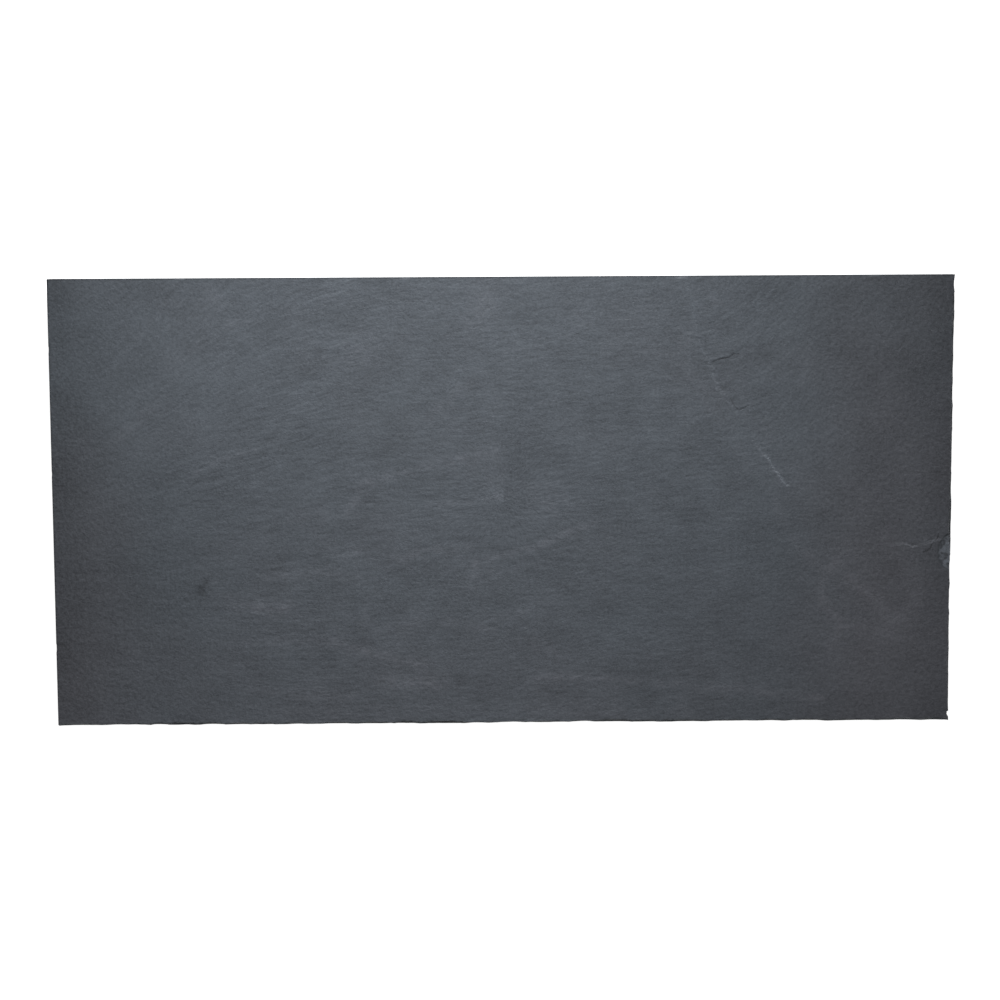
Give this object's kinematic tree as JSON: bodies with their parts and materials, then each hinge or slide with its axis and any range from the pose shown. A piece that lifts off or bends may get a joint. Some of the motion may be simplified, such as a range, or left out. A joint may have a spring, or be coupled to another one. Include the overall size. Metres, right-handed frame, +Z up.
{
  "type": "slate slab",
  "caption": "Rectangular natural slate slab, twice as long as wide, with a riven upper face, two sawn edges, two dressed edges and a flat underside.",
  "frame": {"origin": "centre of the slab's plan, on the flat underside that it rests on", "axes": "+Z up out of the riven face, +X along the length towards the dressed right edge, +Y across the width towards the sawn back edge"},
  "size_m": [0.6, 0.3, 0.015],
  "materials": {
    "slate": "riven"
  },
  "bodies": {
    "root": {"slate_slab": "slate"}
  },
  "joints": []
}
